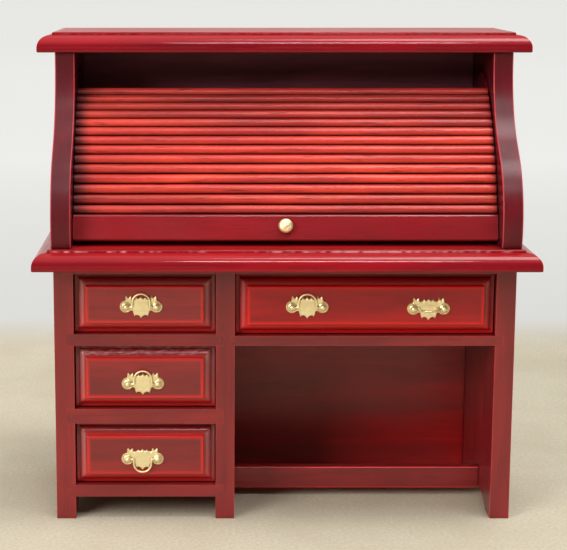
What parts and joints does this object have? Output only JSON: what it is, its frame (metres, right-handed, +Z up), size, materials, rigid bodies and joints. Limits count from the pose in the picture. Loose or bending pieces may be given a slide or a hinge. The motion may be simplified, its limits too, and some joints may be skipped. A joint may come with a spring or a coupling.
{
  "type": "roll top desk",
  "caption": "Roll top desk with moulded top and slab, S-shaped gables, a slatted roll, drawers with brass bail pulls beside a kneehole, and a stretcher.",
  "frame": {"origin": "floor level, under the middle of the desk slab", "axes": "+X to the right as seen from the front, -Y to the front, +Z up"},
  "size_m": [0.12, 0.06, 0.1181],
  "materials": {
    "mahogany_gloss": "gloss",
    "mahogany_dark": "satin",
    "mahogany_roll": "satin",
    "brass": "satin"
  },
  "bodies": {
    "carcass": {"desk_slab": "mahogany_gloss", "top_board": "mahogany_gloss", "gable_left": "mahogany_dark", "gable_right": "mahogany_dark", "upper_back_panel": "mahogany_dark", "base_side_left": "mahogany_dark", "partition": "mahogany_dark", "base_side_right": "mahogany_dark", "base_back_panel": "mahogany_dark", "upper_rail_left": "mahogany_dark", "upper_rail_right": "mahogany_dark", "drawer_rail_upper": "mahogany_dark", "drawer_rail_lower": "mahogany_dark", "bottom_rail": "mahogany_dark", "kneehole_rail": "mahogany_dark", "stretcher": "mahogany_dark", "drawer_runners": "mahogany_dark", "brads": "brass", "pigeonhole_case": "mahogany_roll", "pigeonhole_dividers": "mahogany_roll", "false_back": "mahogany_roll"},
    "lift_rail": {"lift_rail": "mahogany_roll", "lift_knob": "brass", "slat_01": "mahogany_roll"},
    "roll_slats_02_to_03": {"slat_02": "mahogany_roll", "slat_03": "mahogany_roll"},
    "roll_slats_04_to_05": {"slat_04": "mahogany_roll", "slat_05": "mahogany_roll"},
    "roll_slat_06": {"slat_06": "mahogany_roll"},
    "roll_slat_07": {"slat_07": "mahogany_roll"},
    "roll_slat_08": {"slat_08": "mahogany_roll"},
    "roll_slats_09_to_11": {"slat_09": "mahogany_roll", "slat_10": "mahogany_roll", "slat_11": "mahogany_roll"},
    "roll_slats_12_to_14": {"slat_12": "mahogany_roll", "slat_13": "mahogany_roll", "slat_14": "mahogany_roll"},
    "small_drawer_1": {"small_drawer_1_front": "mahogany_gloss", "small_drawer_1_box": "mahogany_roll", "small_drawer_1_bottom": "mahogany_roll", "pull_1_plate": "brass"},
    "small_drawer_2": {"small_drawer_2_front": "mahogany_gloss", "small_drawer_2_box": "mahogany_roll", "small_drawer_2_bottom": "mahogany_roll", "pull_2_plate": "brass"},
    "small_drawer_3": {"small_drawer_3_front": "mahogany_gloss", "small_drawer_3_box": "mahogany_roll", "small_drawer_3_bottom": "mahogany_roll", "pull_3_plate": "brass"},
    "wide_drawer": {"wide_drawer_front": "mahogany_gloss", "wide_drawer_box": "mahogany_roll", "wide_drawer_bottom": "mahogany_roll", "pull_4_plate": "brass", "pull_5_plate": "brass"},
    "bail_1": {"pull_1_bail": "brass"},
    "bail_2": {"pull_2_bail": "brass"},
    "bail_3": {"pull_3_bail": "brass"},
    "bail_4": {"pull_4_bail": "brass"},
    "bail_5": {"pull_5_bail": "brass"}
  },
  "joints": [
    {"name": "roll_lift", "type": "hinge", "parent": "carcass", "child": "lift_rail", "pos_m": [0, 0.03836, 0.05706], "axis": [-1, 0, 0], "range_deg": [0, 34.5]},
    {"name": "roll_bend_02", "type": "hinge", "parent": "lift_rail", "child": "roll_slats_02_to_03", "pos_m": [0, -0.01625, 0.07746], "axis": [-1, 0, 0], "range_deg": [0, 9.4]},
    {"name": "roll_bend_04", "type": "hinge", "parent": "roll_slats_02_to_03", "child": "roll_slats_04_to_05", "pos_m": [0, -0.01428, 0.08211], "axis": [-1, 0, 0], "range_deg": [0, 9.2]},
    {"name": "roll_bend_06", "type": "hinge", "parent": "roll_slats_04_to_05", "child": "roll_slat_06", "pos_m": [0, -0.01191, 0.08657], "axis": [-1, 0, 0], "range_deg": [0, 12.4]},
    {"name": "roll_bend_07", "type": "hinge", "parent": "roll_slat_06", "child": "roll_slat_07", "pos_m": [0, -0.01059, 0.08872], "axis": [-1, 0, 0], "range_deg": [0, 23.2]},
    {"name": "roll_bend_08", "type": "hinge", "parent": "roll_slat_07", "child": "roll_slat_08", "pos_m": [0, -0.00917, 0.09082], "axis": [-1, 0, 0], "range_deg": [0, 24.8]},
    {"name": "roll_bend_09", "type": "hinge", "parent": "roll_slat_08", "child": "roll_slats_09_to_11", "pos_m": [0, -0.00766, 0.09284], "axis": [-1, 0, 0], "range_deg": [0, 24.6]},
    {"name": "roll_bend_12", "type": "hinge", "parent": "roll_slats_09_to_11", "child": "roll_slats_12_to_14", "pos_m": [0, -0.00264, 0.09851], "axis": [-1, 0, 0], "range_deg": [-6.4, 0]},
    {"name": "small_drawer_1_slide", "type": "slide", "parent": "carcass", "child": "small_drawer_1", "axis": [0, -1, 0], "range_m": [0, 0.036]},
    {"name": "small_drawer_2_slide", "type": "slide", "parent": "carcass", "child": "small_drawer_2", "axis": [0, -1, 0], "range_m": [0, 0.036]},
    {"name": "small_drawer_3_slide", "type": "slide", "parent": "carcass", "child": "small_drawer_3", "axis": [0, -1, 0], "range_m": [0, 0.036]},
    {"name": "wide_drawer_slide", "type": "slide", "parent": "carcass", "child": "wide_drawer", "axis": [0, -1, 0], "range_m": [0, 0.036]},
    {"name": "bail_1_swing", "type": "hinge", "parent": "small_drawer_1", "child": "bail_1", "pos_m": [-0.0346, -0.0208, 0.0534], "axis": [1, 0, 0], "range_deg": [0, 180]},
    {"name": "bail_2_swing", "type": "hinge", "parent": "small_drawer_2", "child": "bail_2", "pos_m": [-0.0343, -0.0208, 0.0344], "axis": [1, 0, 0], "range_deg": [0, 180]},
    {"name": "bail_3_swing", "type": "hinge", "parent": "small_drawer_3", "child": "bail_3", "pos_m": [-0.0345, -0.0208, 0.0155], "axis": [1, 0, 0], "range_deg": [-180, 0]},
    {"name": "bail_4_swing", "type": "hinge", "parent": "wide_drawer", "child": "bail_4", "pos_m": [0.0054, -0.0208, 0.0533], "axis": [1, 0, 0], "range_deg": [0, 180]},
    {"name": "bail_5_swing", "type": "hinge", "parent": "wide_drawer", "child": "bail_5", "pos_m": [0.0346, -0.0208, 0.0529], "axis": [1, 0, 0], "range_deg": [-90, 90]}
  ],
  "couplings": [
    {"joint": "roll_bend_02", "follows": "roll_lift", "ratio": 0.2687},
    {"joint": "roll_bend_04", "follows": "roll_lift", "ratio": 0.261},
    {"joint": "roll_bend_06", "follows": "roll_lift", "ratio": 0.3563},
    {"joint": "roll_bend_07", "follows": "roll_lift", "ratio": 0.6689},
    {"joint": "roll_bend_08", "follows": "roll_lift", "ratio": 0.7138},
    {"joint": "roll_bend_09", "follows": "roll_lift", "ratio": 0.7099},
    {"joint": "roll_bend_12", "follows": "roll_lift", "ratio": -0.181}
  ]
}
